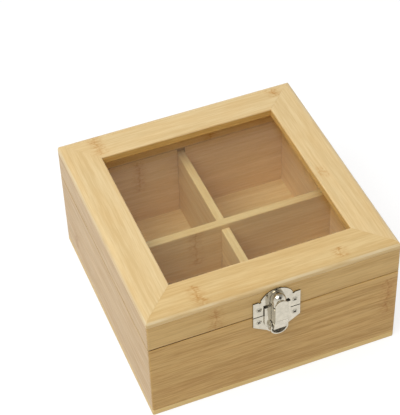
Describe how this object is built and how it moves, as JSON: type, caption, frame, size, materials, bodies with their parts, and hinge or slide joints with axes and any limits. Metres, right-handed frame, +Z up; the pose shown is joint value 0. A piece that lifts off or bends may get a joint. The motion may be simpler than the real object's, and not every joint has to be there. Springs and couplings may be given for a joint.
{
  "type": "tea bag organizer box",
  "caption": "Square bamboo tea bag box with crossed dividers, a hinged lid with a clear window, and a plated hasp latch at the front.",
  "frame": {"origin": "centre of the box's underside, in the plane of the table it stands on", "axes": "+Z up, -Y towards the latch at the front, +X to the right seen from the front"},
  "size_m": [0.16, 0.1739, 0.084],
  "materials": {
    "bamboo_base": "satin clear lacquer",
    "bamboo_lid": "satin clear lacquer",
    "clear_pane": "polished",
    "nickel_plate": "nickel plated, worn bright",
    "screw_nickel": "nickel plated"
  },
  "bodies": {
    "base": {"bottom_board": "bamboo_base", "front_wall": "bamboo_base", "back_wall": "bamboo_base", "left_wall": "bamboo_base", "right_wall": "bamboo_base", "long_divider": "bamboo_base", "cross_divider": "bamboo_base", "hinge_base_leaf_left": "nickel_plate", "hinge_base_leaf_right": "nickel_plate", "hinge_pin_left": "screw_nickel", "hinge_pin_right": "screw_nickel", "hinge_base_screws": "screw_nickel", "latch_plate": "nickel_plate", "latch_screws": "screw_nickel", "latch_pin": "screw_nickel"},
    "lid": {"lid_rail_front": "bamboo_lid", "lid_rail_back": "bamboo_lid", "lid_rail_left": "bamboo_lid", "lid_rail_right": "bamboo_lid", "lid_side_front": "bamboo_lid", "lid_side_back": "bamboo_lid", "lid_side_left": "bamboo_lid", "lid_side_right": "bamboo_lid", "window_pane": "clear_pane", "hinge_lid_leaf_left": "nickel_plate", "hinge_lid_leaf_right": "nickel_plate", "hinge_lid_screws": "screw_nickel", "catch_plate": "nickel_plate", "catch_screws": "screw_nickel"},
    "hasp": {"latch_hasp": "nickel_plate"}
  },
  "joints": [
    {"name": "lid_hinge", "type": "hinge", "parent": "base", "child": "lid", "pos_m": [0, 0.083, 0.059], "axis": [-1, 0, 0], "range_deg": [0, 180]},
    {"name": "hasp_pivot", "type": "hinge", "parent": "base", "child": "hasp", "pos_m": [0, -0.0844, 0.0507], "axis": [1, 0, 0], "range_deg": [0, 100]}
  ]
}
